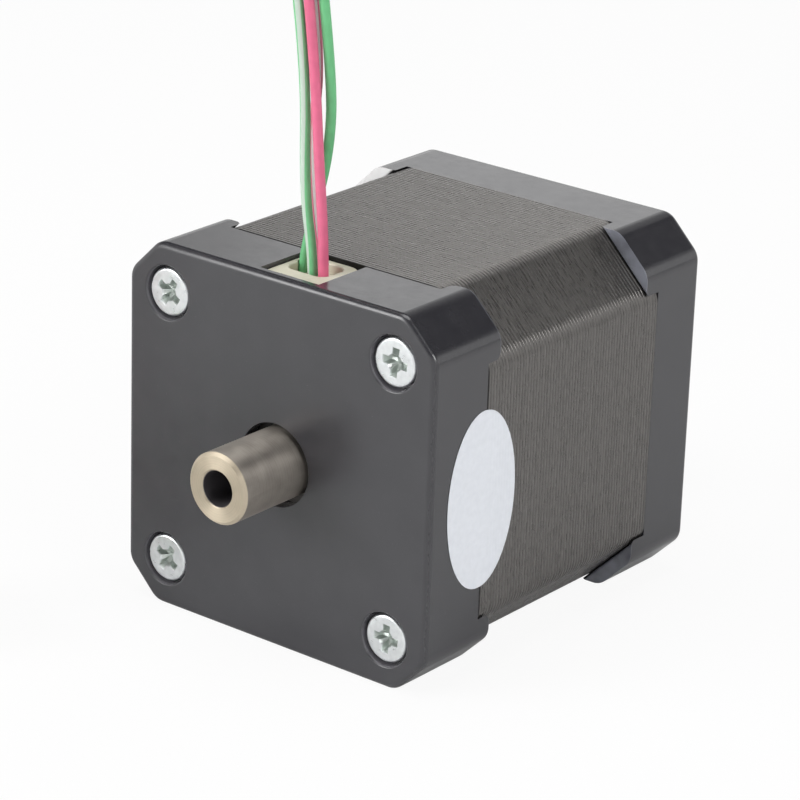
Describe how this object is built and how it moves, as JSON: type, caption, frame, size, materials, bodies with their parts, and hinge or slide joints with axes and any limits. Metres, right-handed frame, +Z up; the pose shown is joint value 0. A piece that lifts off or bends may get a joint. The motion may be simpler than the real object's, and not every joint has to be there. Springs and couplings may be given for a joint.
{
  "type": "hollow shaft stepper motor",
  "caption": "Square-bodied stepper motor with a hollow shaft through both ends, toothed stator and rotor on ball bearings, pilot flange with tapped holes, and loose coloured leads.",
  "frame": {"origin": "centre of the mounting face, on the shaft's axis", "axes": "+Y along the shaft, out of the mounting face; +Z up, the way the leads leave; +X to the right seen from the rear end cap"},
  "size_m": [0.0635, 0.106, 0.0979],
  "materials": {
    "cap_paint": "semi-gloss dark grey paint on cast metal",
    "lamination": "dull edges of stacked steel sheets",
    "insulator": "moulded, matte",
    "zinc_screw": "zinc plated",
    "guide_plastic": "moulded, matte, cream",
    "spring_steel": "bright spring steel",
    "shaft_steel": "ground, satin",
    "rotor_steel": "ground tooth tips",
    "magnet": "plain, dark grey",
    "bearing_steel": "ground",
    "ball_steel": "polished",
    "cage_brass": "pressed sheet",
    "copper_wire": "enamelled copper wire",
    "green_white_lead": "soft insulation, green with a white stripe",
    "pink_lead": "soft insulation, pink",
    "pink_white_lead": "soft insulation, pink with a pale stripe",
    "green_lead": "soft insulation, green",
    "tinned_wire": "stripped and tinned",
    "wound_leads": "wound leads",
    "tie": "natural plastic tie"
  },
  "bodies": {
    "stator": {"rear_end_cap": "cap_paint", "front_flange": "cap_paint", "stator_stack": "lamination", "front_insulator": "insulator", "rear_insulator": "insulator", "winding_1": "copper_wire", "winding_2": "copper_wire", "winding_3": "copper_wire", "winding_4": "copper_wire", "winding_5": "copper_wire", "winding_6": "copper_wire", "winding_7": "copper_wire", "winding_8": "copper_wire", "tie_screws": "zinc_screw", "lead_guide": "guide_plastic", "wave_washer": "spring_steel", "front_bearing_outer_ring": "bearing_steel", "front_bearing_shields": "bearing_steel", "rear_bearing_outer_ring": "bearing_steel", "rear_bearing_shields": "bearing_steel", "lead_green_white": "green_white_lead", "lead_pink": "pink_lead", "lead_pink_white": "pink_white_lead", "lead_green": "green_lead", "bare_end_green_white": "tinned_wire", "bare_end_pink": "tinned_wire", "bare_end_pink_white": "tinned_wire", "bare_end_green": "tinned_wire", "lead_coil": "wound_leads", "lead_tie": "tie"},
    "rotor": {"hollow_shaft": "shaft_steel", "rotor_cup_front": "rotor_steel", "rotor_cup_rear": "rotor_steel", "rotor_magnet": "magnet", "front_spacer": "bearing_steel", "rear_spacer": "bearing_steel", "front_bearing_inner_ring": "bearing_steel", "rear_bearing_inner_ring": "bearing_steel"},
    "front_ball_set": {"front_bearing_balls": "ball_steel", "front_bearing_cage": "cage_brass"},
    "rear_ball_set": {"rear_bearing_balls": "ball_steel", "rear_bearing_cage": "cage_brass"}
  },
  "joints": [
    {"name": "rotor_spin", "type": "hinge", "parent": "stator", "child": "rotor", "pos_m": [0, 0, 0], "axis": [0, 1, 0], "continuous": true},
    {"name": "front_balls_spin", "type": "hinge", "parent": "stator", "child": "front_ball_set", "pos_m": [0, 0, 0], "axis": [0, 1, 0], "continuous": true},
    {"name": "rear_balls_spin", "type": "hinge", "parent": "stator", "child": "rear_ball_set", "pos_m": [0, 0, 0], "axis": [0, 1, 0], "continuous": true}
  ],
  "couplings": [
    {"joint": "front_balls_spin", "follows": "rotor_spin", "ratio": 0.41724},
    {"joint": "rear_balls_spin", "follows": "rotor_spin", "ratio": 0.41724}
  ]
}
